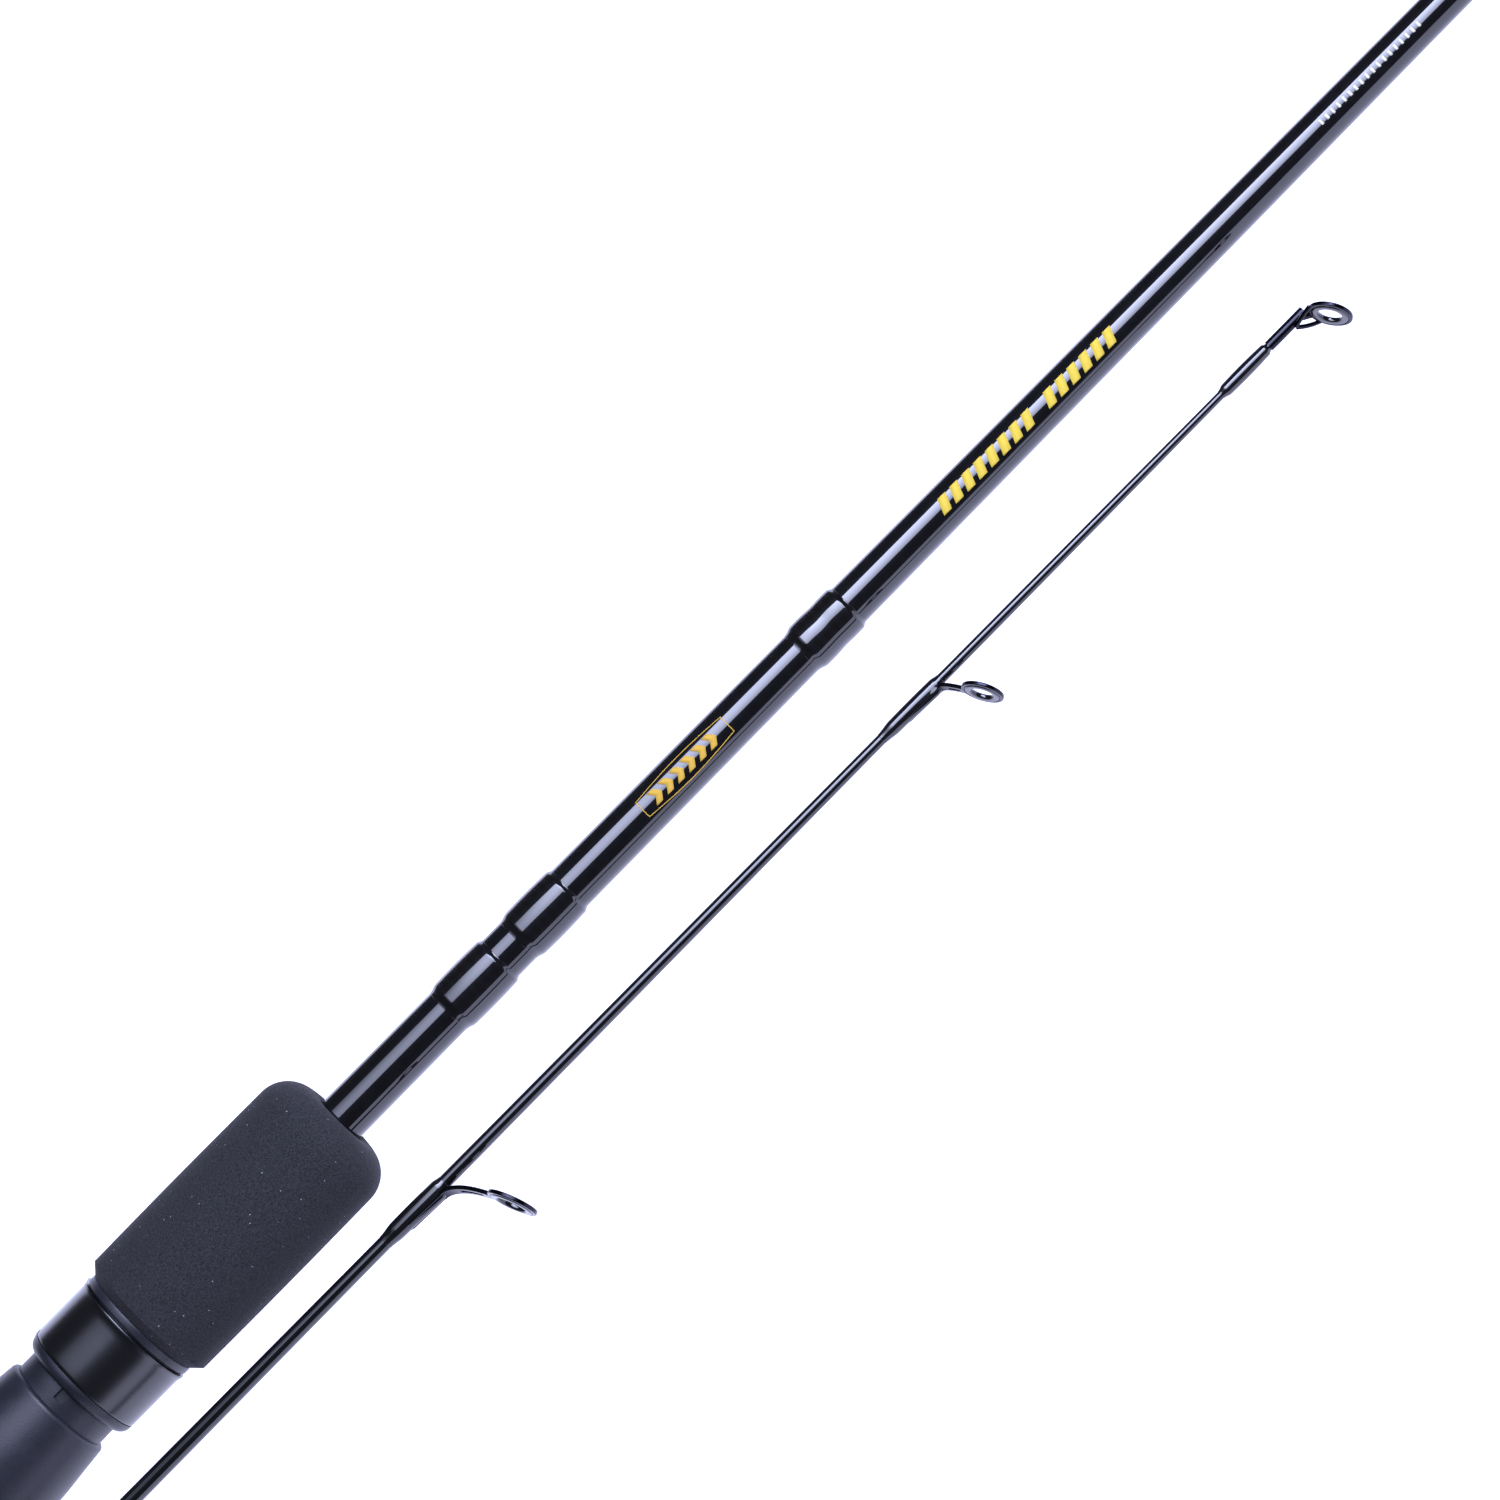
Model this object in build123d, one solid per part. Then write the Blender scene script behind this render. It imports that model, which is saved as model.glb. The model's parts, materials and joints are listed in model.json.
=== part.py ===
from build123d import *

import os
from math import asin, cos, degrees, radians, sin
from typing import NamedTuple

# Two-piece spinning rod, tip section laid beside the butt section.
# Millimetres. Origin: centre of the butt cap's end face. +X: along the rod to the tip. +Z: up.
# Every reel-side shape is drawn with the reel side at +Z, then rolled about X to where it lies.

# ---- Driving dimensions -------------------------------------------------------------------
SECTION_LENGTH = 930.0  # each of the two sections
FERRULE_LENGTH = 60.0  # overlap of the tip section over the butt section
SPIGOT_RADIUS = 2.75  # parallel end of the butt section
SOCKET_RADIUS = 2.78  # bore of the tip section that slips over it
GRIP_RADIUS = 13.5  # foam foregrip
BARREL_RADIUS = 9.7  # reel seat barrel that the hood slides on
RUNNING_GAP = 0.08  # radial clearance of sliding fits
GLUE_GAP = 0.05  # radial room left for glue on the blank
THREAD_PITCH = 2.0

FOREGRIP_FRONT = 310.0
FOREGRIP_REAR = FOREGRIP_FRONT - 49.6
NUT_REAR = FOREGRIP_FRONT - 51.3
HOOD_FRONT = NUT_REAR - 0.3
BAND_REAR = FOREGRIP_FRONT - 64.2
HOOD_MOUTH = FOREGRIP_FRONT - 66.5
FLARE_FRONT = FOREGRIP_FRONT - 70.4
SEAT_REAR = 164.0
FIXED_HOOD_MOUTH = 200.0
BARREL_FRONT = 296.0
CAP_LENGTH = 16.0
TRIM_LENGTH = 4.0

BED_HEIGHT = 7.9  # flat that the reel foot lies on, above the rod's axis
HUMP_CENTRE = 7.0  # centre of the round hump that clears the reel foot
HUMP_RADIUS = 7.2
POCKET_RADIUS = 6.0
POCKET_DEPTH = 10.0
KEY_ANGLE = 133.0  # keyways, to each side of the reel side
KEY_WIDTH = 2.0

TIP_RING_X = FOREGRIP_FRONT + 220.9  # where the tip-top's ring lies
TIP_AXIS_Y = -22.7
TIP_AXIS_Z = -4.9
TIP_ROLL = 94.5  # guides of the tip section: towards -Y, slightly down
BUTT_ROLL = -97.3  # reel side of the butt section: towards +Y, slightly down

# Outside diameters along each section: (distance, diameter)
BUTT_TAPER = [(8.0, 10.3), (310.0, 9.2), (398.0, 8.76), (581.0, 7.0), (868.0, 5.6)]
TIP_TAPER = [(3.0, 1.44), (190.0, 2.44), (293.0, 3.05), (500.0, 4.1), (868.0, 6.2), (872.0, 6.7), (930.0, 6.8)]


class Guide(NamedTuple):
    """A running guide: a ceramic ring in a one-foot frame, bound to the blank with thread."""

    name: str
    from_tip: float  # where the foot leaves its wrap, measured back from the tip
    radius: float  # outside of the frame's ring
    height: float  # ring centre above the rod's axis
    ahead: float  # ring centre ahead of the foot's exit
    lean: float  # degrees that the ring leans towards the tip
    foot: float  # length of the foot
    wrap: float  # length of the thread wrap
    strip: float  # width of the leg


GUIDES = [
    Guide("guide_1", 92.2, 3.85, 8.2, 3.2, 32.0, 10.5, 15.0, 1.7),
    Guide("guide_2", 214.9, 4.7, 13.2, 6.2, 24.0, 11.0, 15.0, 2.2),
    Guide("guide_3", 362.0, 5.4, 15.0, 7.0, 23.0, 12.0, 16.0, 2.6),
    Guide("guide_4", 535.0, 6.3, 16.4, 7.8, 22.0, 13.0, 17.0, 3.0),
    Guide("guide_5", 735.0, 7.2, 17.6, 8.6, 21.0, 14.0, 19.0, 3.4),
]
STRIPPER = Guide("stripper_guide", 0.0, 11.0, 20.0, 7.0, 12.0, 16.0, 20.0, 4.0)
STRIPPER_X = 706.0


# ---- Helpers ------------------------------------------------------------------------------
def turned(*points):
    """Solid of revolution about X from a closed outline of (x, radius) points."""
    return revolve(make_face(Polyline(*points, close=True)), Axis.X)


def rod(start, end, radius):
    """Cylinder along X."""
    return turned((start, 0), (end, 0), (end, radius), (start, radius))


def ring(start, end, inner, outer):
    """Plain tube along X."""
    return turned((start, inner), (end, inner), (end, outer), (start, outer))


def taper_radius(taper, x):
    """Radius of a tapered section at a distance x."""
    for (x0, d0), (x1, d1) in zip(taper, taper[1:]):
        if x <= x1:
            return (d0 + (d1 - d0) * (x - x0) / (x1 - x0)) / 2
    return taper[-1][1] / 2


def butt_radius(x):
    """Outside radius of the butt section's blank."""
    return taper_radius(BUTT_TAPER, x)


def tip_radius(x):
    """Outside radius of the tip section's blank, x counted from the tip back."""
    return taper_radius(TIP_TAPER, x)


def hull_bar(start, end, radius, hump_radius, hump_centre=HUMP_CENTRE):
    """Bar along X: a circle and the reel-side hump, joined by their common tangents."""
    circle = Pos(0, 0) * Circle(radius)
    hump = Pos(0, hump_centre) * Circle(hump_radius)
    outline = make_hull(circle.edges() + hump.edges())
    section = Plane(origin=(start, 0, 0), x_dir=(0, 1, 0), z_dir=(1, 0, 0)) * outline
    return extrude(section, end - start)


def as_laid_butt(shape):
    """Roll a butt-section shape to where it lies."""
    return Rot(BUTT_ROLL, 0, 0) * shape


def as_laid_tip(shape):
    """Place a tip-section shape, drawn with the tip's ring at x = 0 and the butt at -X."""
    return Pos(TIP_RING_X, TIP_AXIS_Y, TIP_AXIS_Z) * Rot(TIP_ROLL, 0, 0) * shape


def save(name, shape):
    """Write one node, as separate solids if it has several."""
    solids = shape.solids()
    part = solids[0] if len(solids) == 1 else Compound(children=list(solids))
    part.label = name
    export_step(part, f"parts/{name}.step")
    print(name, len(solids), round(sum(s.volume for s in solids), 1))


# ---- Blanks, grips and cap ----------------------------------------------------------------
def butt_blank():
    """Tapered carbon tube that ends in the parallel ferrule spigot."""
    spigot_start = SECTION_LENGTH - FERRULE_LENGTH
    outside = [(x, d / 2) for x, d in BUTT_TAPER]
    outside += [(spigot_start, SPIGOT_RADIUS), (SECTION_LENGTH, SPIGOT_RADIUS)]
    inside = [(SECTION_LENGTH, 1.75), (581.0, 2.5), (310.0, 3.6), (8.0, 4.1)]
    return turned(*outside, *inside)


def butt_cap():
    """Rubber cap with a flat end, two finger grooves and a blind bore for the blank."""
    outer = 13.2
    cap = ring(0, CAP_LENGTH, 0, outer)
    cap = fillet(cap.edges().sort_by(Axis.X)[0], 2.4)
    cap -= ring(6.5, 7.7, outer - 0.6, outer + 1)
    cap -= ring(9.7, 10.9, outer - 0.6, outer + 1)
    return cap - rod(8.0, CAP_LENGTH + 1, butt_radius(8.0) + GLUE_GAP)


def rear_grip():
    """Foam grip, parallel for a rod holder and waisted towards the seat."""
    rear = CAP_LENGTH
    front = SEAT_REAR - TRIM_LENGTH
    bore = butt_radius(rear) + GLUE_GAP
    waist = Spline((118.0, 13.4), (142.0, 12.7), (front, 12.4), tangents=[(1, 0), (1, 0)])
    edges = Polyline((front, 12.4), (front, bore), (rear, bore), (rear, 12.4), (rear + 1, 13.4), (118.0, 13.4))
    return revolve(make_face(waist + edges), Axis.X)


def grip_trim_ring():
    """Metal ring between the rear grip and the reel seat."""
    front = SEAT_REAR
    rear = front - TRIM_LENGTH
    bore = butt_radius(rear) + GLUE_GAP
    return turned(
        (rear, bore), (front, bore), (front, 12.2), (front - 0.6, 12.7), (rear + 0.6, 12.7), (rear, 12.2)
    )


# ---- Reel seat ----------------------------------------------------------------------------
def keyways(start, end, outer, inner, width):
    """Two bars along X, to each side, that cut keyways or make keys."""
    bars = Part()
    for angle in (KEY_ANGLE, -KEY_ANGLE):
        bar = Pos((start + end) / 2, 0, (outer + inner) / 2) * Box(end - start, width, outer - inner)
        bars += Rot(angle, 0, 0) * bar
    return bars


def reel_seat_body():
    """Moulded seat: fixed hood, foot bed, flared front and the threaded barrel."""
    bore = butt_radius(SEAT_REAR) + 1.6
    flare = 10.75
    line = Polyline(
        (SEAT_REAR, bore), (SEAT_REAR, 12.0), (SEAT_REAR + 1, 12.2), (200.0, 12.3), (214.0, 12.2)
    )
    palm = Spline(
        (214.0, 12.2), (227.6, 11.85), (FLARE_FRONT - 1, flare), tangents=[(1, -0.01), (1, -0.09)]
    )
    edge = RadiusArc((FLARE_FRONT - 1, flare), (FLARE_FRONT, flare - 1), 1.0)
    barrel = Polyline(
        (FLARE_FRONT, flare - 1), (FLARE_FRONT, BARREL_RADIUS), (BARREL_FRONT - 1, BARREL_RADIUS),
        (BARREL_FRONT, BARREL_RADIUS - 1), (BARREL_FRONT, bore), (SEAT_REAR, bore),
    )
    body = revolve(make_face(line + palm + edge + barrel), Axis.X)
    hump = hull_bar(SEAT_REAR + 2, FIXED_HOOD_MOUTH, 12.25, HUMP_RADIUS + 0.3)
    envelope = turned(
        (SEAT_REAR, 0), (SEAT_REAR, 12.1), (SEAT_REAR + 6, 12.9), (SEAT_REAR + 13, 13.9),
        (SEAT_REAR + 20, 14.6), (FIXED_HOOD_MOUTH - 0.9, 14.6), (FIXED_HOOD_MOUTH, 13.7), (FIXED_HOOD_MOUTH, 0),
    )
    hump &= envelope
    body += hump - rod(SEAT_REAR, BARREL_FRONT, bore)
    pocket_end = FIXED_HOOD_MOUTH - POCKET_DEPTH - 1
    bed = Pos((pocket_end + 262) / 2, 0, BED_HEIGHT + 10) * Box(262 - pocket_end, 40, 20)
    pocket = Pos(0, 0, HUMP_CENTRE) * rod(pocket_end, FIXED_HOOD_MOUTH, POCKET_RADIUS)
    open_bed = bed & (rod(FIXED_HOOD_MOUTH, 262, 20) + pocket)
    body -= open_bed
    body -= keyways(FLARE_FRONT + 1.7, BARREL_FRONT + 1, BARREL_RADIUS + 1, BARREL_RADIUS - 0.7, KEY_WIDTH)
    for turn in range(15):
        start = 264.0 + turn * THREAD_PITCH
        body -= turned(
            (start, BARREL_RADIUS + 0.5), (start + 0.5, BARREL_RADIUS - 0.7),
            (start + 1.1, BARREL_RADIUS - 0.7), (start + 1.6, BARREL_RADIUS + 0.5),
        )
    return body


def seat_arbors():
    """Three rings that centre the seat on the blank."""
    bore = butt_radius(SEAT_REAR) + 1.6
    rings = Part()
    for start in (172.0, 218.0, 268.0):
        rings += ring(start, start + 16, butt_radius(start) + GLUE_GAP, bore)
    return rings


def sliding_hood():
    """Hood that is pushed over the front of the reel foot, with keys and a snap-on sleeve."""
    bore = BARREL_RADIUS + RUNNING_GAP
    sleeve = 10.5
    lip = hull_bar(HOOD_MOUTH, BAND_REAR, 11.55, HUMP_RADIUS + 0.05)
    lip = fillet(lip.edges().group_by(Axis.X)[0], 1.85)
    core = hull_bar(BAND_REAR, HOOD_FRONT, 11.1, HUMP_RADIUS - 0.5)
    skirt = rod(HOOD_FRONT, NUT_REAR + 5.7, sleeve)
    bead = rod(NUT_REAR + 4.5, NUT_REAR + 5.7, sleeve + 0.4)
    hood = lip + core + skirt + bead
    hood -= rod(HOOD_MOUTH - 1, NUT_REAR + 10, bore)
    hood -= Pos(0, 0, HUMP_CENTRE) * rod(HOOD_MOUTH - 1, HOOD_MOUTH + POCKET_DEPTH, POCKET_RADIUS)
    keys = keyways(HOOD_MOUTH + 1.5, HOOD_MOUTH + 11, BARREL_RADIUS + 0.5, BARREL_RADIUS - 0.5, KEY_WIDTH - 0.3)
    return hood + keys


def hood_cover():
    """Gloss shell round the hood."""
    shell = hull_bar(BAND_REAR, HOOD_FRONT, 11.6, HUMP_RADIUS)
    return shell - hull_bar(BAND_REAR - 1, HOOD_FRONT + 1, 11.1, HUMP_RADIUS - 0.5)


# ---- Locking nut and foregrip -------------------------------------------------------------
def lock_nut():
    """Nut whose flange shows behind the foregrip: snap groove, then the thread's bore."""
    groove_start = NUT_REAR + 4.2
    groove_end = NUT_REAR + 6.0
    sleeve_bore = 10.5 + RUNNING_GAP
    bore = BARREL_RADIUS + RUNNING_GAP
    return turned(
        (NUT_REAR, sleeve_bore), (groove_start, sleeve_bore), (groove_start, 11.0), (groove_end, 11.0),
        (groove_end, bore), (FOREGRIP_REAR + 24, bore), (FOREGRIP_REAR + 24, 11.5), (FOREGRIP_REAR, 11.5),
        (FOREGRIP_REAR, 11.7), (NUT_REAR + 0.2, 11.7), (NUT_REAR, 11.5),
    )


def fore_grip():
    """Foam foregrip glued over the nut: chamfered rear, well rounded front."""
    rear = FOREGRIP_REAR
    front = FOREGRIP_FRONT
    nose = 6.4
    chamfer_size = 1.7
    hole = butt_radius(front) + 0.15
    outside = Spline(
        (rear + chamfer_size, GRIP_RADIUS - 0.05), ((rear + front) / 2, GRIP_RADIUS + 0.05),
        (front - nose, GRIP_RADIUS - 0.07), tangents=[(1, 0.004), (1, -0.004)],
    )
    corner = RadiusArc((front - nose, GRIP_RADIUS - 0.07), (front, GRIP_RADIUS - 0.07 - nose), nose)
    rest = Polyline(
        (front, GRIP_RADIUS - 0.07 - nose), (front, hole), (front - 8, hole), (front - 8, 10.4),
        (rear + 24, 10.4), (rear + 24, 11.5), (rear, 11.5), (rear, GRIP_RADIUS - chamfer_size),
        (rear + chamfer_size, GRIP_RADIUS - 0.05),
    )
    return revolve(make_face(outside + corner + rest), Axis.X)


# ---- Thread wraps -------------------------------------------------------------------------
def wrap_sleeve(radius_at, start, end, thickness, rear_ramp=2.4, front_ramp=1.4):
    """Epoxy-coated thread wrap round a blank: a thin sleeve with soft shoulders."""
    inner_start = radius_at(start) + 0.01
    inner_end = radius_at(end) + 0.01
    crest = radius_at((start + end) / 2) + thickness
    top = Spline(
        (start, inner_start + 0.04), (start + rear_ramp, crest), (end - front_ramp, crest),
        (end, inner_end + 0.04),
        tangents=[(1, 0.5), (1, -0.6)],
    )
    rest = Polyline((end, inner_end + 0.04), (end, inner_end), (start, inner_start), (start, inner_start + 0.04))
    return revolve(make_face(top + rest), Axis.X)


def tip_sleeve(from_tip_start, from_tip_end, thickness):
    """The same on the tip section, between two distances from the tip."""
    return wrap_sleeve(lambda x: tip_radius(-x), -from_tip_start, -from_tip_end, thickness)


# ---- Guides -------------------------------------------------------------------------------
def ring_plane(guide):
    """Plane of a guide's ring, its normal pointing to the tip and down to the blank."""
    lean = radians(guide.lean)
    return Plane(
        origin=(guide.ahead, 0, guide.height), x_dir=(0, 1, 0), z_dir=(cos(lean), 0, -sin(lean))
    )


def ring_section(inner, outer, depth, edge):
    """Turned ring about Z with rounded edges."""
    band = Cylinder(outer, depth) - Cylinder(inner, depth * 2)
    return fillet(band.edges(), edge)


def hoop_wall(guide):
    """Radial thickness of the frame's hoop round the ceramic."""
    return 0.45 + 0.05 * guide.radius


def guide_frame(guide, blank):
    """Pressed frame: foot on the blank, slotted leg and the ring that holds the ceramic."""
    lean = radians(guide.lean)
    sheet = 0.5 + 0.06 * guide.radius
    wall = hoop_wall(guide)
    reach = guide.radius - wall / 2
    end = (guide.ahead - sin(lean) * reach, guide.height - cos(lean) * reach)
    base = blank + sheet / 2 - 0.1
    start_x = -0.16 * guide.height
    rise = (end[1] - base) / cos(lean)
    knee = (end[0] - sin(lean) * rise, base)
    knee = (max(knee[0], start_x + 0.8), base)
    path = Bezier((start_x, 0, base), (knee[0], 0, knee[1]), (end[0], 0, end[1]))
    start_plane = Plane(origin=(start_x, 0, base), x_dir=(0, 1, 0), z_dir=(1, 0, 0))
    leg = sweep(start_plane * Rectangle(guide.strip, sheet), path)
    outline = Polyline(
        (-guide.foot, blank - 0.1), (-guide.foot + 1.5, blank + 0.35), (start_x, base + sheet / 2),
        (start_x, blank - 0.1), close=True,
    )
    foot = extrude(Plane.XZ * make_face(outline), guide.strip * 0.45, both=True)
    hoop = ring_plane(guide) * ring_section(guide.radius - wall, guide.radius, sheet, 0.2)
    window = Pos(end[0], 0, (base + end[1]) / 2 + 0.4) * Box(
        guide.height, guide.strip * 0.4, (end[1] - base) * 0.52
    )
    hole = ring_plane(guide) * Cylinder(guide.radius - wall, 3 * sheet)
    frame = (leg - window - hole) + foot + hoop
    return frame - rod(-guide.foot - 1, 1, blank)


def guide_ring(guide):
    """Ceramic ring with a rounded bead, seated in the frame."""
    depth = 0.65 + 0.1 * guide.radius
    thick = 0.75 + 0.13 * guide.radius
    outer = guide.radius - hoop_wall(guide)
    return ring_plane(guide) * ring_section(outer - thick, outer, depth, depth * 0.4)


def guide_wrap(guide, blank_at, frame):
    """Thread wrap over a foot: round at its start, lifted over the foot at its exit."""
    start = -guide.wrap + 0.2
    low = blank_at(start)
    high = blank_at(0)
    stations = [
        (start, low + 0.08, 0.0), (start + 1.4, low + 0.34, 0.0), (-guide.foot * 0.6, low + 0.36, 0.55),
        (-2.6, high + 0.4, 1.1), (-1.0, high + 0.36, 1.15), (-0.1, high + 0.1, 0.85),
    ]
    faces = []
    for x, radius, lift in stations:
        oval = Pos(0, lift / 2) * Ellipse(radius + lift * 0.12, radius + lift / 2)
        faces.append(Plane(origin=(x, 0, 0), x_dir=(0, 1, 0), z_dir=(1, 0, 0)) * oval)
    sleeve = loft(faces)
    sleeve -= rod(start - 1, 1, low + 0.01)
    return sleeve - frame


def stripper_frame(blank):
    """Two-foot frame: a pair of struts behind, one leg ahead and the ring."""
    guide = STRIPPER
    lean = radians(guide.lean)
    wire = 1.0
    inner = guide.radius - hoop_wall(guide)
    reach = guide.radius - 0.6
    low = (guide.ahead - sin(lean) * reach, guide.height - cos(lean) * reach)
    frame = ring_plane(guide) * ring_section(inner, guide.radius, 2.0, 0.3)
    side = (guide.ahead, reach * 0.9, guide.height - reach * 0.42)
    for sign in (1, -1):
        strut = Bezier((-15, 0.9 * sign, blank + 0.8), (-6, 1.2 * sign, blank + 1.2), (side[0] - 1, side[1] * sign, side[2]))
        profile = Plane(origin=strut @ 0, z_dir=strut % 0) * Circle(wire)
        frame += sweep(profile, strut)
    front = Bezier((15, 0, blank + 0.8), (9, 0, blank + 1.0), (low[0], 0, low[1]))
    profile = Plane(origin=front @ 0, x_dir=(0, 1, 0), z_dir=front % 0) * Rectangle(3.4, 1.3)
    frame += sweep(profile, front)
    for sign in (1, -1):
        foot = Pos(sign * 21, 0, blank + 0.35) * Box(13, 2.8, 1.5)
        frame += foot
    frame -= ring_plane(guide) * Cylinder(inner, 8)
    return frame - rod(-40, 40, blank)


def stripper_wraps(blank_at, frame):
    """One thread wrap over each foot of the stripper guide."""
    wraps = Part()
    for start in (-34.0, 14.5):
        end = start + STRIPPER.wrap - 0.5
        radius = blank_at(start) + 0.02
        bar = hull_bar(start, end, radius + 0.4, 1.5, radius + 0.7)
        bar = fillet(bar.edges().group_by(Axis.X)[0] + bar.edges().group_by(Axis.X)[-1], 0.35)
        wraps += bar - rod(start - 1, end + 1, radius)
    return wraps - frame


# ---- Tip-top ------------------------------------------------------------------------------
TIP_TOP = Guide("tip_top", 0.0, 4.0, 4.4, 0.0, 35.5, 0.0, 12.0, 1.0)
TUBE_FRONT = -2.6
TUBE_REAR = -11.3
TUBE_RADIUS = 1.0


def tip_top_frame():
    """Tube that caps the blank, the ring's hoop, a neck between them and two braces."""
    bore = tip_radius(8.0) + 0.02
    tube = rod(TUBE_REAR, TUBE_FRONT, TUBE_RADIUS) - rod(TUBE_REAR - 1, TUBE_FRONT - 0.8, bore)
    lean = radians(TIP_TOP.lean)
    reach = TIP_TOP.radius - 0.35
    top = (-sin(lean) * reach, TIP_TOP.height - cos(lean) * reach)
    inner = TIP_TOP.radius - hoop_wall(TIP_TOP)
    hoop = ring_plane(TIP_TOP) * ring_section(inner, TIP_TOP.radius, 0.75, 0.2)
    neck = Line((TUBE_FRONT - 1.2, 0, 0.1), (top[0], 0, top[1] - 0.1))
    body = tube + hoop + sweep(Plane(origin=neck @ 0, z_dir=neck % 0) * Circle(0.9), neck)
    for sign in (1, -1):
        brace = Bezier((-5.5, 0.2 * sign, 1.25), (-3.9, 1.8 * sign, 1.8), (-1.75, 2.75 * sign, 2.1))
        body += sweep(Plane(origin=brace @ 0, z_dir=brace % 0) * Circle(0.42), brace)
    body -= rod(TUBE_REAR - 1, TUBE_FRONT - 0.8, bore)
    return body - ring_plane(TIP_TOP) * Cylinder(inner, 4)


def tip_blank():
    """Tapered carbon tube: solid tip, hollow from the middle, ferrule socket at its thick end."""
    end = SECTION_LENGTH
    front = TUBE_FRONT - 0.8
    outside = [(-x, d / 2) for x, d in TIP_TAPER[1:]]
    tube = turned((front, 0), (front, tip_radius(-front)), *outside, (-end, 0))
    tube -= turned((-330, 0), (-330, 0.7), (-end + 64, 2.5), (-end + 64, 0))
    return tube - rod(-end - 1, -end + 64, SOCKET_RADIUS)


# ---- Build --------------------------------------------------------------------------------
os.makedirs("parts", exist_ok=True)

save("butt_blank", as_laid_butt(butt_blank()))
save("butt_cap", as_laid_butt(butt_cap()))
save("rear_grip", as_laid_butt(rear_grip()))
save("grip_trim_ring", as_laid_butt(grip_trim_ring()))
save("reel_seat_body", as_laid_butt(reel_seat_body()))
save("seat_arbors", as_laid_butt(seat_arbors()))
save("sliding_hood", as_laid_butt(sliding_hood()))
save("hood_cover", as_laid_butt(hood_cover()))
save("lock_nut", as_laid_butt(lock_nut()))
save("fore_grip", as_laid_butt(fore_grip()))
save("wrap_rear", as_laid_butt(wrap_sleeve(butt_radius, 336.7, 349.8, 0.52)))
save("wrap_middle", as_laid_butt(wrap_sleeve(butt_radius, 354.2, 367.0, 0.50)))
save("wrap_front", as_laid_butt(wrap_sleeve(butt_radius, 424.9, 436.8, 0.50)))
save("ferrule_wrap_butt", as_laid_butt(wrap_sleeve(butt_radius, 846.0, 867.0, 0.35)))

stripper_blank = butt_radius(STRIPPER_X)
stripper = stripper_frame(stripper_blank + 0.1)
to_stripper = Pos(STRIPPER_X, 0, 0)
save("stripper_guide_frame", as_laid_butt(to_stripper * stripper))
save("stripper_guide_ring", as_laid_butt(to_stripper * guide_ring(STRIPPER)))
stripper_wrap = stripper_wraps(lambda x: butt_radius(STRIPPER_X + x), stripper)
save("stripper_guide_wraps", as_laid_butt(to_stripper * stripper_wrap))

save("tip_blank", as_laid_tip(tip_blank()))
save("ferrule_wrap_tip", as_laid_tip(tip_sleeve(926.0, 898.0, 0.35)))
save("tip_top_frame", as_laid_tip(tip_top_frame()))
save("tip_top_ring", as_laid_tip(guide_ring(TIP_TOP)))
save("tip_top_wrap", as_laid_tip(tip_sleeve(23.1, 11.4, 0.33)))
for item in GUIDES:
    thick = tip_radius(item.from_tip + item.foot + 1)
    item_frame = guide_frame(item, thick)
    item_wrap = guide_wrap(item, lambda x, g=item: tip_radius(g.from_tip - x), item_frame)
    to_place = Pos(-item.from_tip, 0, 0)
    save(f"{item.name}_frame", as_laid_tip(to_place * item_frame))
    save(f"{item.name}_ring", as_laid_tip(to_place * guide_ring(item)))
    save(f"{item.name}_wrap", as_laid_tip(to_place * item_wrap))
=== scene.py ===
"""Looks of a two-section spinning rod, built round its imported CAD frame.

The butt section lies along +X with its grips, reel seat and thread wraps. The tip section lies
beside it. Sizes are in millimetres until a mesh is made, and the frame gives where things are.
"""

from __future__ import annotations

import json
import logging
import math
from dataclasses import dataclass, field
from enum import Enum
from typing import Any, Iterable, Sequence

import bmesh
import bpy
from mathutils import Matrix, Vector

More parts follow.
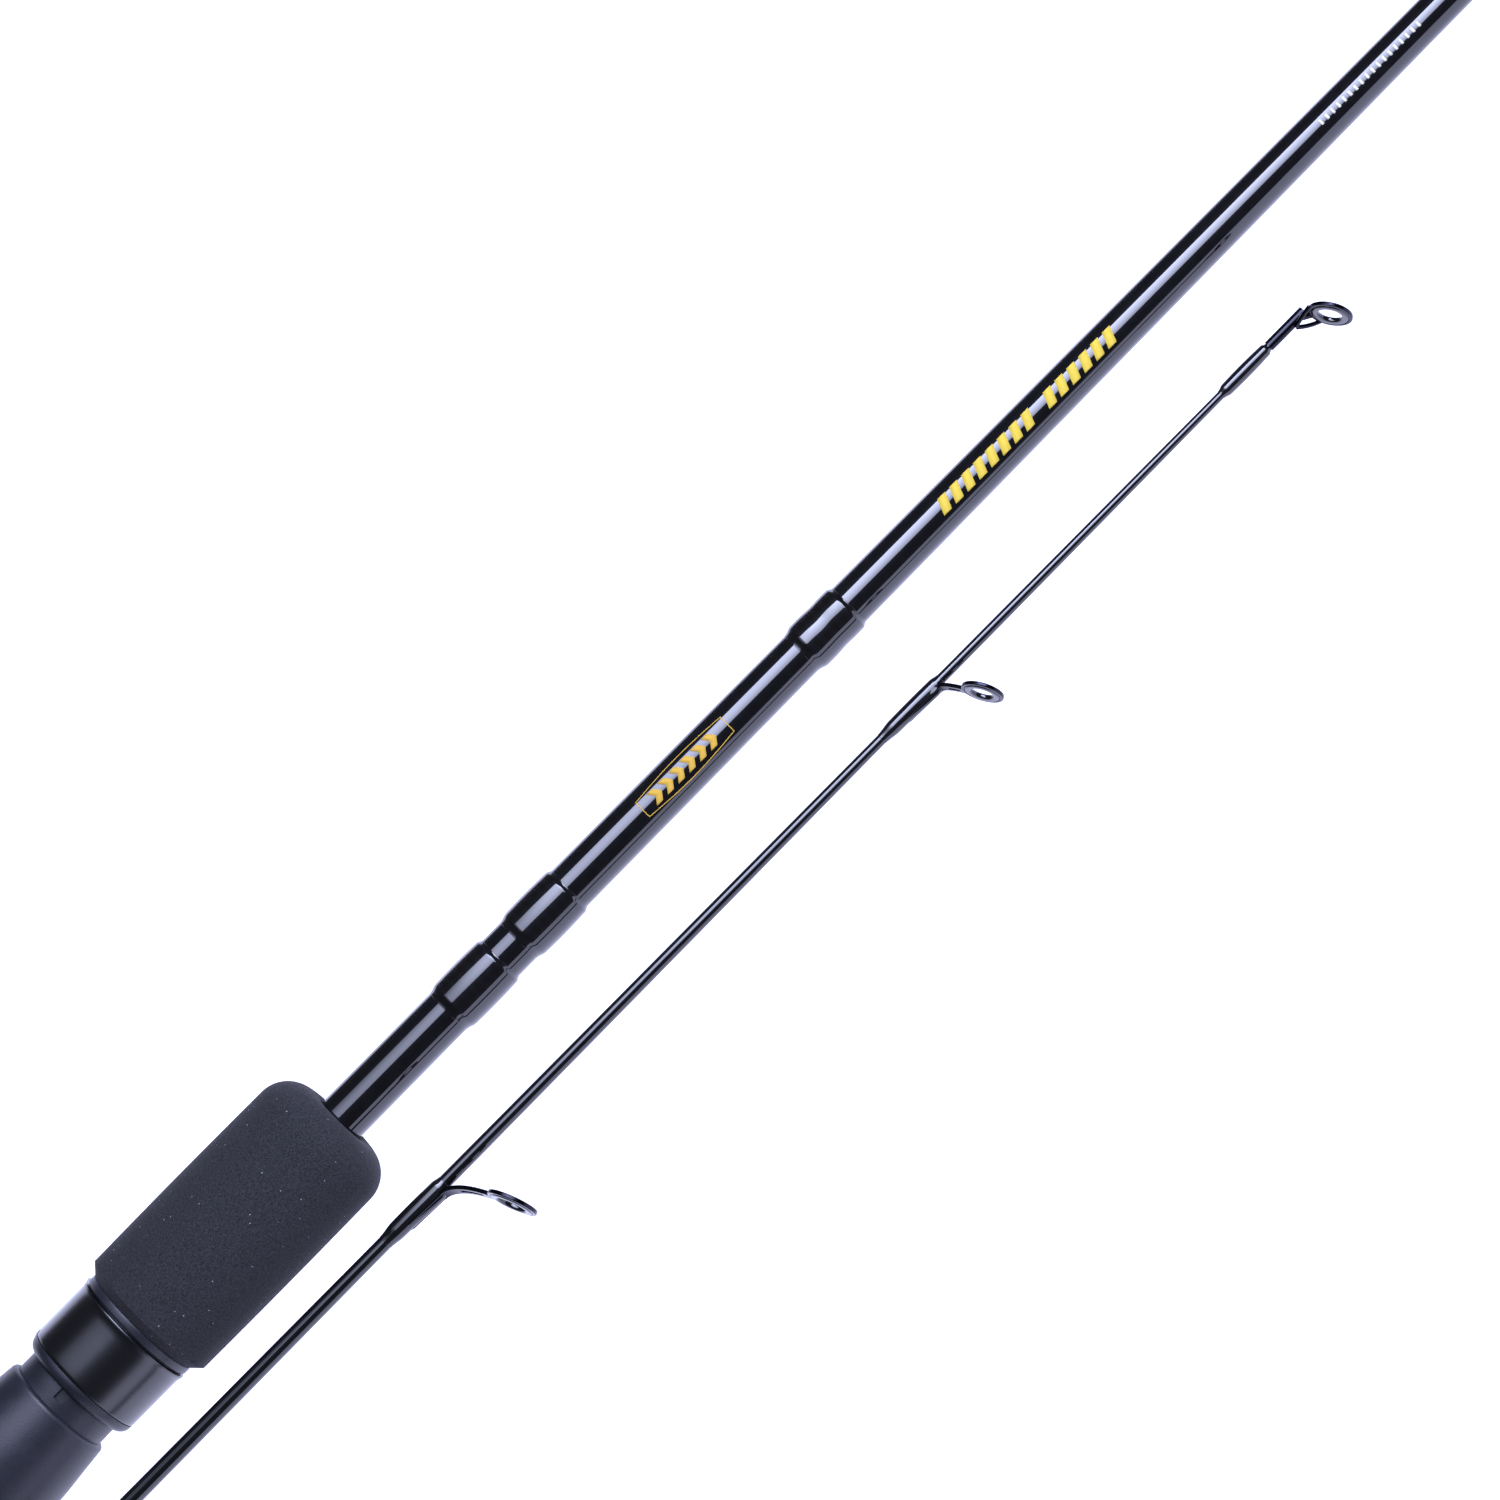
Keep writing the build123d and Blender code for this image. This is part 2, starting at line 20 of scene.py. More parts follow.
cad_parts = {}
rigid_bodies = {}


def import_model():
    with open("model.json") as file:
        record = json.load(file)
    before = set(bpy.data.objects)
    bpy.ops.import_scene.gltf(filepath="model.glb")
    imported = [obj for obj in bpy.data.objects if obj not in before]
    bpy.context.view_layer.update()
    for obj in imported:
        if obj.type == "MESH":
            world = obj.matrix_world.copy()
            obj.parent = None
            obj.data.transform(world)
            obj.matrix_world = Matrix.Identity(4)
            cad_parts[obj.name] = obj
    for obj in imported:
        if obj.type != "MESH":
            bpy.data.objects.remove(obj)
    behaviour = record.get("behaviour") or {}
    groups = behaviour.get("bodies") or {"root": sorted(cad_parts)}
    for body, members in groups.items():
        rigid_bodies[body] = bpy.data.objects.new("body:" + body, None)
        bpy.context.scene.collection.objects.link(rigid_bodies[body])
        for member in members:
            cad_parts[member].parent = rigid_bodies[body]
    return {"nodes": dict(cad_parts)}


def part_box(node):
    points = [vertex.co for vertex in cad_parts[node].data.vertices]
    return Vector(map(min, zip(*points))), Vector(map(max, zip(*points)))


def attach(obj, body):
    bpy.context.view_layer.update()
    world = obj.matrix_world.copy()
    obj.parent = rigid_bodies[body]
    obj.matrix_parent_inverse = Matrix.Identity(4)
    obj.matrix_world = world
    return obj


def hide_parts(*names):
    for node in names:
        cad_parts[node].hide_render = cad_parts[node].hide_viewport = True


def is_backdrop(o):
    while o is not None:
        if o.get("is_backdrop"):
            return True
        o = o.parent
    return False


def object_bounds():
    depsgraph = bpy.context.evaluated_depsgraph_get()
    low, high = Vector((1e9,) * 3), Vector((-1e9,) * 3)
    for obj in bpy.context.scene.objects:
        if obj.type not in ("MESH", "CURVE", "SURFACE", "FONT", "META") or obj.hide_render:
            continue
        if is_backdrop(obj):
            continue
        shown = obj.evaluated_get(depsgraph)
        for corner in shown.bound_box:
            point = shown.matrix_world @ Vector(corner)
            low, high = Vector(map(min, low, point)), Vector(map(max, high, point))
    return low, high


log = logging.getLogger("spinning_rod")

MM = 0.001
Point = tuple[float, float]


class Body(Enum):
    """The bodies of the frame that pieces ride on."""

    BUTT = "butt_section"
    HOOD = "hood"
    GRIP = "locking_grip"
    TIP = "tip_section"


# ---- Nodes --------------------------------------------------------------------------------
def add_node(
    tree: bpy.types.NodeTree, kind: str, inputs: dict[Any, Any] | None = None, **settings: Any
) -> Any:
    """Add a node with its settings, constants and links.

    Args:
        tree: Node tree that gets the node.
        kind: Node type's identifier.
        inputs: Socket name or index to a constant or to the socket that feeds it.
        settings: Attributes of the node itself.

    Returns:
        The new node.
    """
    node = tree.nodes.new(kind)
    for name, value in settings.items():
        setattr(node, name, value)
    for key, value in (inputs or {}).items():
        if isinstance(value, bpy.types.NodeSocket):
            tree.links.new(value, node.inputs[key])
        else:
            node.inputs[key].default_value = value
    return node


def linear(code: str) -> tuple[float, float, float, float]:
    """Turn an sRGB hex colour into a linear RGBA colour.

    Args:
        code: Six hex digits, such as "1a2b3c".

    Returns:
        Red, green, blue and an alpha of 1.
    """
    parts = [int(code[i:i + 2], 16) / 255 for i in (0, 2, 4)]
    red, green, blue = (p / 12.92 if p <= 0.04045 else ((p + 0.055) / 1.055) ** 2.4 for p in parts)
    return red, green, blue, 1.0


class Field:
    """A number in a node tree that Python's operators turn into math nodes."""

    def __init__(self, tree: bpy.types.NodeTree, value: Any) -> None:
        """Keep the tree and the socket or constant."""
        self.tree = tree
        self.value = value

    def math(self, operation: str, *others: Any) -> Field:
        """Add one math node.

        Args:
            operation: The math node's operation.
            others: Further operands, fields or numbers.

        Returns:
            The node's result.
        """
        values = [self.value] + [o.value if isinstance(o, Field) else o for o in others]
        node = add_node(self.tree, "ShaderNodeMath", dict(enumerate(values)), operation=operation)
        return Field(self.tree, node.outputs[0])

    def __add__(self, other: Any) -> Field:
        """Sum."""
        return self.math("ADD", other)

    def __sub__(self, other: Any) -> Field:
        """Difference."""
        return self.math("SUBTRACT", other)

    def __mul__(self, other: Any) -> Field:
        """Product."""
        return self.math("MULTIPLY", other)

    def __truediv__(self, other: Any) -> Field:
        """Quotient."""
        return self.math("DIVIDE", other)

    def smooth(self) -> Field:
        """Clamp to 0..1 and ease both ends."""
        value = {"Value": self.value}
        node = add_node(self.tree, "ShaderNodeMapRange", value, interpolation_type="SMOOTHSTEP")
        return Field(self.tree, node.outputs[0])


# ---- Finishes -----------------------------------------------------------------------------
@dataclass(frozen=True)
class Finish:
    """A surface: its base colour and gloss. Subclasses add what the real one shows."""

    name: str
    slot: str
    colour: str
    roughness: float
    metallic: float = 0.0
    ior: float = 1.5
    specular: float = 0.5
    coat: float = 0.0
    coat_roughness: float = 0.03
    coat_ior: float = 1.5

    def detail(self, tree: bpy.types.NodeTree, shader: Any, place: Any) -> None:
        """Add the pattern; a plain finish has none.

        Args:
            tree: The material's node tree.
            shader: Its Principled BSDF.
            place: Object coordinates.
        """

    def material(self) -> bpy.types.Material:
        """Make the material once and reuse it after that.

        Returns:
            The material.
        """
        made = bpy.data.materials.get(self.name)
        if made:
            return made
        made = bpy.data.materials.new(self.name)
        made.use_nodes = True
        tree = made.node_tree
        shader = tree.nodes["Principled BSDF"]
        shader.inputs["Base Color"].default_value = linear(self.colour)
        shader.inputs["Roughness"].default_value = self.roughness
        shader.inputs["Metallic"].default_value = self.metallic
        shader.inputs["IOR"].default_value = self.ior
        shader.inputs["Specular IOR Level"].default_value = self.specular
        shader.inputs["Coat Weight"].default_value = self.coat
        shader.inputs["Coat Roughness"].default_value = self.coat_roughness
        shader.inputs["Coat IOR"].default_value = self.coat_ior
        place = add_node(tree, "ShaderNodeTexCoord").outputs["Object"]
        self.detail(tree, shader, place)
        return made


def grains(tree: bpy.types.NodeTree, place: Any, size_mm: float, octaves: float = 2.0) -> Any:
    """Noise with grains of about that size.

    Args:
        tree: Material's tree.
        place: Coordinates in metres.
        size_mm: Width of a grain.
        octaves: Finer layers on top.

    Returns:
        The noise's value socket.
    """
    inputs = {"Vector": place, "Scale": 1 / (size_mm * MM), "Detail": octaves, "Roughness": 0.55}
    return add_node(tree, "ShaderNodeTexNoise", inputs).outputs[0]


def relief(
    tree: bpy.types.NodeTree, height: Any, depth_mm: float, strength: float, before: Any = None
) -> Any:
    """Bump from a height of 0..1.

    Args:
        tree: Material's tree.
        height: Height socket.
        depth_mm: Real depth of the pattern.
        strength: Bump strength.
        before: Normal to add to, if any.

    Returns:
        The bumped normal.
    """
    inputs = {"Height": height, "Distance": depth_mm * MM, "Strength": strength}
    if before is not None:
        inputs["Normal"] = before
    return add_node(tree, "ShaderNodeBump", inputs).outputs[0]


def two_tone(tree: bpy.types.NodeTree, factor: Any, low: str, high: str, start: float, end: float) -> Any:
    """Colour that goes from low to high as a factor goes from start to end.

    Args:
        tree: Material's tree.
        factor: Value socket.
        low: Hex colour at and below start.
        high: Hex colour at and above end.
        start: First factor.
        end: Last factor.

    Returns:
        The colour socket.
    """
    ramp = add_node(tree, "ShaderNodeValToRGB", {"Fac": factor})
    stops = ramp.color_ramp.elements
    stops[0].position, stops[0].color = start, linear(low)
    stops[1].position, stops[1].color = end, linear(high)
    return ramp.outputs[0]


@dataclass(frozen=True)
class CoatedCarbon(Finish):
    """Carbon blank under a dipped gloss clear coat: near black, mirror-like, faintly wavy."""

    tape_mm: float = 1.3

    def detail(self, tree: bpy.types.NodeTree, shader: Any, place: Any) -> None:
        """Ridges left by the shrink tape under the coat, and the coat's own ripple."""
        bands = add_node(
            tree, "ShaderNodeTexWave",
            {"Vector": place, "Scale": 1 / (self.tape_mm * MM) / 20, "Distortion": 1.5, "Detail": 1.0},
            wave_type="BANDS", bands_direction="X",
        ).outputs["Fac"]
        tone = grains(tree, place, 3.0)
        tree.links.new(two_tone(tree, tone, "040406", "09090d", 0.3, 0.7), shader.inputs["Base Color"])
        tree.links.new(relief(tree, bands, 0.004, 0.25), shader.inputs["Normal"])
        ripple = relief(tree, grains(tree, place, 0.7, 1.0), 0.0012, 0.35)
        tree.links.new(ripple, shader.inputs["Coat Normal"])


@dataclass(frozen=True)
class EpoxyThread(Finish):
    """Black rod-building thread sunk in thick epoxy: gloss over fine turns that catch the light."""

    thread_mm: float = 0.32

    def detail(self, tree: bpy.types.NodeTree, shader: Any, place: Any) -> None:
        """Turns of thread below, levelled epoxy with slight sags above."""
        turns = add_node(
            tree, "ShaderNodeTexWave",
            {"Vector": place, "Scale": 1 / (self.thread_mm * MM) / 20, "Distortion": 0.6, "Detail": 1.0},
            wave_type="BANDS", bands_direction="X",
        ).outputs["Fac"]
        tree.links.new(two_tone(tree, turns, "050506", "08080b", 0.2, 0.9), shader.inputs["Base Color"])
        tree.links.new(relief(tree, turns, 0.01, 0.15), shader.inputs["Normal"])
        sag = relief(tree, grains(tree, place, 4.0, 1.0), 0.02, 0.5)
        tree.links.new(sag, shader.inputs["Coat Normal"])


@dataclass(frozen=True)
class GroundFoam(Finish):
    """EVA foam turned and ground to size: matt, with open cells, mottle and pale dust specks."""

    cell_mm: float = 0.22
    speck_mm: float = 1.3

    def detail(self, tree: bpy.types.NodeTree, shader: Any, place: Any) -> None:
        """Mottle and specks in the colour, cells and grinding marks in the relief."""
        mottle = grains(tree, place, 0.3, 3.0)
        tone = two_tone(tree, mottle, "151516", "353538", 0.28, 0.72)
        spots = add_node(
            tree, "ShaderNodeTexVoronoi",
            {"Vector": place, "Scale": 1 / (self.speck_mm * MM), "Randomness": 1.0},
        )
        inside = Field(tree, spots.outputs["Distance"]).math("LESS_THAN", 0.085)
        chance = add_node(tree, "ShaderNodeSeparateColor", {0: spots.outputs["Color"]}).outputs[0]
        chosen = Field(tree, chance).math("GREATER_THAN", 0.55)
        mix = add_node(
            tree, "ShaderNodeMix", {0: (inside * chosen * 0.75).value, 6: tone, 7: linear("a0a0a0")},
            data_type="RGBA",
        )
        tree.links.new(mix.outputs[2], shader.inputs["Base Color"])
        cells = add_node(
            tree, "ShaderNodeTexVoronoi", {"Vector": place, "Scale": 1 / (self.cell_mm * MM)}
        ).outputs["Distance"]
        coarse = relief(tree, mottle, 0.08, 0.35)
        tree.links.new(relief(tree, cells, 0.05, 0.5, coarse), shader.inputs["Normal"])
        shader.inputs["Sheen Weight"].default_value = 0.03
        shader.inputs["Sheen Roughness"].default_value = 0.6


@dataclass(frozen=True)
class SparkedNylon(Finish):
    """Glass-filled nylon from a spark-eroded mould: satin blue-grey black with a fine even grain."""

    grain_mm: float = 0.24

    def detail(self, tree: bpy.types.NodeTree, shader: Any, place: Any) -> None:
        """Mould grain, and slight patches of tone and gloss."""
        grain = grains(tree, place, self.grain_mm, 1.0)
        patches = grains(tree, place, 5.0, 2.0)
        tone = two_tone(tree, patches, "18191f", "1f2028", 0.3, 0.7)
        tree.links.new(tone, shader.inputs["Base Color"])
        gloss = add_node(
            tree, "ShaderNodeMapRange",
            {"Value": patches, "To Min": self.roughness - 0.05, "To Max": self.roughness + 0.06},
        )
        tree.links.new(gloss.outputs[0], shader.inputs["Roughness"])
        tree.links.new(relief(tree, grain, 0.03, 0.7), shader.inputs["Normal"])


@dataclass(frozen=True)
class Lacquer(Finish):
    """Gloss black lacquer on a turned shell: smooth with a soft, slightly orange-peeled sheen."""

    def detail(self, tree: bpy.types.NodeTree, shader: Any, place: Any) -> None:
        """Orange peel."""
        peel = relief(tree, grains(tree, place, 1.1, 1.0), 0.006, 0.4)
        tree.links.new(peel, shader.inputs["Normal"])


@dataclass(frozen=True)
class DarkChrome(Finish):
    """Pressed stainless steel, tumbled and plated black chrome: dark mirror with soft edges."""

    def detail(self, tree: bpy.types.NodeTree, shader: Any, place: Any) -> None:
        """Tumbling marks in gloss and relief."""
        marks = grains(tree, place, 0.35, 2.0)
        gloss = add_node(tree, "ShaderNodeMapRange", {"Value": marks, "To Min": 0.12, "To Max": 0.3})
        tree.links.new(gloss.outputs[0], shader.inputs["Roughness"])
        tree.links.new(relief(tree, marks, 0.006, 0.4), shader.inputs["Normal"])


@dataclass(frozen=True)
class SatinMetal(Finish):
    """Turned aluminium, anodised gunmetal: fine lathe rings round the axis."""

    def detail(self, tree: bpy.types.NodeTree, shader: Any, place: Any) -> None:
        """Lathe rings."""
        rings = add_node(
            tree, "ShaderNodeTexWave", {"Vector": place, "Scale": 1 / (0.12 * MM) / 20, "Distortion": 0.2},
            wave_type="BANDS", bands_direction="X",
        ).outputs["Fac"]
        tree.links.new(relief(tree, rings, 0.006, 0.5), shader.inputs["Normal"])


@dataclass(frozen=True)
class MouldedRubber(Finish):
    """Moulded rubber: matt black with a powdery, slightly uneven skin."""

    def detail(self, tree: bpy.types.NodeTree, shader: Any, place: Any) -> None:
        """Bloom in the colour and a pebbled skin."""
        bloom = grains(tree, place, 4.0, 3.0)
        tree.links.new(two_tone(tree, bloom, "17171a", "242428", 0.3, 0.75), shader.inputs["Base Color"])
        tree.links.new(relief(tree, grains(tree, place, 0.3, 1.0), 0.03, 0.5), shader.inputs["Normal"])


@dataclass(frozen=True)
class PrintInk(Finish):
    """Opaque ink, pad printed over the clear coat: matt, slightly uneven in density."""

    def detail(self, tree: bpy.types.NodeTree, shader: Any, place: Any) -> None:
        """Uneven ink density."""
        density = grains(tree, place, 0.5, 2.0)
        uneven = add_node(tree, "ShaderNodeMapRange", {"Value": density, "To Min": 0.92, "To Max": 1.08})
        shade = add_node(
            tree, "ShaderNodeMix",
            {0: 1.0, 6: linear(self.colour), 7: uneven.outputs[0]}, data_type="RGBA", blend_type="MULTIPLY",
        )
        tree.links.new(shade.outputs[2], shader.inputs["Base Color"])


COAT_IOR = 1.65
CARBON = CoatedCarbon(
    "coated_carbon", "carbon_blank", "0b0b0f", 0.4,
    specular=0.04, coat=1.0, coat_roughness=0.02, coat_ior=COAT_IOR,
)
THREAD = EpoxyThread(
    "epoxy_thread", "thread_epoxy", "0a0a0d", 0.4,
    specular=0.06, coat=1.0, coat_roughness=0.03, coat_ior=COAT_IOR,
)
FOAM = GroundFoam("ground_eva_foam", "eva_foam", "3a3a44", 0.85, specular=0.15)
NYLON = SparkedNylon("sparked_nylon", "seat_plastic", "1e1f2c", 0.42, specular=0.48)
LACQUER = Lacquer("black_lacquer", "hood_gloss", "060608", 0.28, specular=0.8)
CHROME = DarkChrome("dark_chrome", "gunmetal_frame", "26262c", 0.2, metallic=1.0)
CERAMIC = Finish("polished_ceramic", "ceramic_ring", "0c0c0f", 0.08, ior=1.7)
ANODISED = SatinMetal("anodised_gunmetal", "trim_metal", "4a4a52", 0.35, metallic=1.0)
RUBBER = MouldedRubber("moulded_rubber", "cap_rubber", "1c1c1f", 0.75)
ARBOR = Finish("graphite_arbor", "arbor_foam", "33333a", 0.7)
GOLD_INK = PrintInk("gold_ink", "carbon_blank", "c49e3f", 0.6, specular=0.1)
YELLOW_INK = PrintInk("yellow_ink", "carbon_blank", "cbb242", 0.6, specular=0.1)
PALE_INK = PrintInk("pale_ink", "carbon_blank", "cacab4", 0.6, specular=0.1)


# ---- Mesh helpers -------------------------------------------------------------------------
def arc(centre: Point, radius: float, start: float, end: float, steps: int = 8) -> list[Point]:
    """Points of a circular arc in an outline.

    Args:
        centre: Its centre, (along, out) in mm.
        radius: Its radius.
        start: First angle in degrees, from +X.
        end: Last angle in degrees.
        steps: Number of chords.

    Returns:
        The points.
    """
    angles = [math.radians(start + (end - start) * i / steps) for i in range(steps + 1)]
    return [(centre[0] + radius * math.cos(a), centre[1] + radius * math.sin(a)) for a in angles]


def smooth_object(name: str, mesh: bpy.types.Mesh, angle: float = 35.0) -> bpy.types.Object:
    """Link a mesh as an object, shaded smooth up to an angle.

    Args:
        name: Object's name.
        mesh: Its mesh.
        angle: Edges sharper than this stay sharp.

    Returns:
        The object.
    """
    mesh.shade_smooth()
    mesh.set_sharp_from_angle(angle=math.radians(angle))
    made = bpy.data.objects.new(name, mesh)
    bpy.context.scene.collection.objects.link(made)
    return made


def skin(
    name: str, rings: Sequence[Sequence[Vector]], closed: bool = True, angle: float = 35.0
) -> bpy.types.Object:
    """Join rings of points, in mm, into a smooth surface.

    Args:
        name: Object's name.
        rings: Rings with the same number of points.
        closed: Whether the last ring joins the first.
        angle: Edges sharper than this stay sharp.

    Returns:
        The object.
    """
    shape = bmesh.new()
    rows = [[shape.verts.new(p * MM) for p in ring] for ring in rings]
    pairs = list(zip(rows, rows[1:])) + ([(rows[-1], rows[0])] if closed else [])
    for near, far in pairs:
        for i, corner in enumerate(near):
            after = (i + 1) % len(near)
            shape.faces.new((corner, near[after], far[after], far[i]))
    bmesh.ops.remove_doubles(shape, verts=shape.verts, dist=1e-7)
    bmesh.ops.recalc_face_normals(shape, faces=shape.faces)
    mesh = bpy.data.meshes.new(name)
    shape.to_mesh(mesh)
    shape.free()
    return smooth_object(name, mesh, angle)


def turn(name: str, outline: Sequence[Point], axis: Point = (0.0, 0.0), steps: int = 96) -> bpy.types.Object:
    """Turn a closed outline of (x, radius) points about a line along X.

    Args:
        name: Object's name.
        outline: The outline in mm.
        axis: The line's (y, z) in mm.
        steps: Points round the axis.

    Returns:
        The object.
    """
    turns = [math.tau * i / steps for i in range(steps)]
    rings = [
        [Vector((x, axis[0] + r * math.sin(a), axis[1] + r * math.cos(a))) for a in turns] for x, r in outline
    ]
    return skin(name, rings)


def dress(piece: bpy.types.Object, finish: Finish, body: Body, nodes: Iterable[str] = ()) -> None:
    """Give a piece its finish, body and the CAD nodes that it stands for.

    Args:
        piece: The piece.
        finish: Its finish.
        body: Body that it rides on.
        nodes: CAD nodes that it replaces.
    """
    piece.data.materials.clear()
    piece.data.materials.append(finish.material())
    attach(piece, body.value)
    if nodes:
        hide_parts(*nodes)
    log.info("%s: %s on %s", piece.name, finish.name, body.value)


def recoat(frame: dict[str, Any], node: str, finish: Finish) -> None:
    """Give a CAD node that stays a better material.

    Args:
        frame: The loaded frame.
        node: Node's name.
        finish: Its finish.
    """
    shown = frame["nodes"][node]
    for place in shown.material_slots:
        place.material = finish.material()
    log.info("%s: kept, %s", node, finish.name)


def span(node: str) -> tuple[Vector, Vector]:
    """A CAD node's lowest and highest corners in mm."""
    low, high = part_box(node)
    return Vector(low) / MM, Vector(high) / MM


# ---- Geometry nodes -----------------------------------------------------------------------
class Tree:
    """A geometry node tree that is built once and run on a new object."""

    def __init__(self, name: str, sizes: Sequence[str]) -> None:
        """Make the tree with a float input for each size."""
        self.tree = bpy.data.node_groups.new(name, "GeometryNodeTree")
        face = self.tree.interface
        face.new_socket("Geometry", in_out="INPUT", socket_type="NodeSocketGeometry")
        self.ids = {}
        for size in sizes:
            self.ids[size] = face.new_socket(size, in_out="INPUT", socket_type="NodeSocketFloat").identifier
        made = face.new_socket("Material", in_out="INPUT", socket_type="NodeSocketMaterial")
        self.ids["Material"] = made.identifier
        face.new_socket("Geometry", in_out="OUTPUT", socket_type="NodeSocketGeometry")
        self.entry = self.tree.nodes.new("NodeGroupInput")
        self.exit = self.tree.nodes.new("NodeGroupOutput")

    def size(self, name: str) -> Field:
        """One of the tree's sizes as a field."""
        return Field(self.tree, self.entry.outputs[name])

    def finish(self, geometry: Any) -> None:
        """End the tree in realised instances with its material.

        Args:
            geometry: Geometry socket that the tree has made.
        """
        real = add_node(self.tree, "GeometryNodeRealizeInstances", {0: geometry})
        done = add_node(
            self.tree, "GeometryNodeSetMaterial",
            {"Geometry": real.outputs[0], "Material": self.entry.outputs["Material"]},
        )
        self.tree.links.new(done.outputs[0], self.exit.inputs[0])

    def run(self, name: str, seed: bpy.types.Mesh, finish: Finish, sizes: dict[str, float]) -> bpy.types.Mesh:
        """Run the tree on a mesh.

        Args:
            name: Name for the result.
            seed: Mesh that goes in.
            finish: Material for the result.
            sizes: The tree's sizes.

        Returns:
            A plain mesh.
        """
        holder = bpy.data.objects.new(name, seed)
        bpy.context.scene.collection.objects.link(holder)
        modifier = holder.modifiers.new(name, "NODES")
        modifier.node_group = self.tree
        for size, value in sizes.items():
            modifier[self.ids[size]] = float(value)
        modifier[self.ids["Material"]] = finish.material()
        graph = bpy.context.evaluated_depsgraph_get()
        result = bpy.data.meshes.new_from_object(holder.evaluated_get(graph), depsgraph=graph)
        bpy.data.objects.remove(holder)
        return result


def wrap_tree() -> Tree:
    """Tree that turns a flat grid into a thread wrap on a tapered blank.

    The grid's x runs 0..1 along the wrap and its y 0..1 round it. The sleeve has soft shoulders
    at both ends, fine ridges over the turns of thread and a hump over a guide's foot.

    Returns:
        The tree.
    """
    sizes = (
        "Start", "Length", "Radius start", "Radius end", "Build", "Rear ramp", "Front ramp", "Turn",
        "Ridge", "Crown", "Waist", "Lift", "Lift start", "Lift width", "Axis Y", "Axis Z", "Roll",
    )
    made = Tree("thread_wrap", sizes)
    tree = made.tree
    at = add_node(tree, "ShaderNodeSeparateXYZ", {0: add_node(tree, "GeometryNodeInputPosition").outputs[0]})
    along, round_ = Field(tree, at.outputs[0]), Field(tree, at.outputs[1])
    length = made.size("Length")
    distance = along * length
    left = length - distance
    shoulders = (distance / made.size("Rear ramp")).smooth() * (left / made.size("Front ramp")).smooth()
    blank = made.size("Radius start") + (made.size("Radius end") - made.size("Radius start")) * along
    ridges = (distance / made.size("Turn") * math.tau).math("SINE") * made.size("Ridge")
    angle = round_ * math.tau
    offset = (angle - math.pi) / made.size("Lift width")
    hump = (offset * offset * -1).math("EXPONENT")
    rise = ((along - made.size("Lift start")) / (made.size("Lift start") * -1 + 1)).smooth()
    drop = (left / (made.size("Front ramp") * 1.5)).smooth()
    lift = made.size("Lift") * hump * rise * drop
    crown = (along * math.pi).math("SINE") * made.size("Crown")
    from_waist = (along - 0.56) / 0.17
    waist = (from_waist * from_waist * -1).math("EXPONENT") * made.size("Waist")
    radius = blank + shoulders * (made.size("Build") + ridges + crown - waist) + lift
    turned = angle - math.pi + made.size("Roll")
    y = made.size("Axis Y") - radius * turned.math("SINE")
    z = made.size("Axis Z") + radius * turned.math("COSINE")
    x = made.size("Start") + distance
    place = add_node(tree, "ShaderNodeCombineXYZ", {0: x.value, 1: y.value, 2: z.value})
    moved = add_node(
        tree, "GeometryNodeSetPosition", {"Geometry": made.entry.outputs[0], "Position": place.outputs[0]}
    )
    sealed = add_node(tree, "GeometryNodeMergeByDistance", {"Geometry": moved.outputs[0], "Distance": 1e-6})
    made.finish(sealed.outputs[0])
    return made


def mark_tree() -> Tree:
    """Tree that repeats a flat mark along the rod and lays the row round the tapered blank.

    Returns:
        The tree.
    """
    sizes = ("Count", "Pitch", "Start", "Radius", "Taper", "Slant", "Fold", "Angle")
    made = Tree("printed_marks", sizes)
    tree = made.tree
    count = add_node(tree, "FunctionNodeFloatToInt", {0: made.entry.outputs["Count"]})
    step = add_node(tree, "ShaderNodeCombineXYZ", {0: made.entry.outputs["Pitch"]})
    points = add_node(tree, "GeometryNodeMeshLine", {"Count": count.outputs[0], "Offset": step.outputs[0]})
    copies = add_node(
        tree, "GeometryNodeInstanceOnPoints", {"Points": points.outputs[0], "Instance": made.entry.outputs[0]}
    )
    flat = add_node(tree, "GeometryNodeRealizeInstances", {0: copies.outputs[0]})
    at = add_node(tree, "ShaderNodeSeparateXYZ", {0: add_node(tree, "GeometryNodeInputPosition").outputs[0]})
    along, across, out = (Field(tree, at.outputs[i]) for i in range(3))
    radius = made.size("Radius") + along * made.size("Taper") + out
    angle = made.size("Angle") + across / radius
    fold = across.math("ABSOLUTE") * made.size("Fold")
    x = made.size("Start") + along + across * made.size("Slant") - fold
    y = radius * angle.math("SINE") * -1
    z = radius * angle.math("COSINE")
    place = add_node(tree, "ShaderNodeCombineXYZ", {0: x.value, 1: y.value, 2: z.value})
    moved = add_node(
        tree, "GeometryNodeSetPosition", {"Geometry": flat.outputs[0], "Position": place.outputs[0]}
    )
    made.finish(moved.outputs[0])
    return made


def unit_grid(along: int, across: int) -> bpy.types.Mesh:
    """Flat grid from 0 to 1 each way.

    Args:
        along: Faces along x.
        across: Faces along y.

    Returns:
        The mesh.
    """
    corners = [(i / along, j / across, 0.0) for i in range(along + 1) for j in range(across + 1)]
    row = across + 1
    faces = [
        (i * row + j, (i + 1) * row + j, (i + 1) * row + j + 1, i * row + j + 1)
        for i in range(along) for j in range(across)
    ]
    mesh = bpy.data.meshes.new("grid")
    mesh.from_pydata(corners, [], faces)
    return mesh


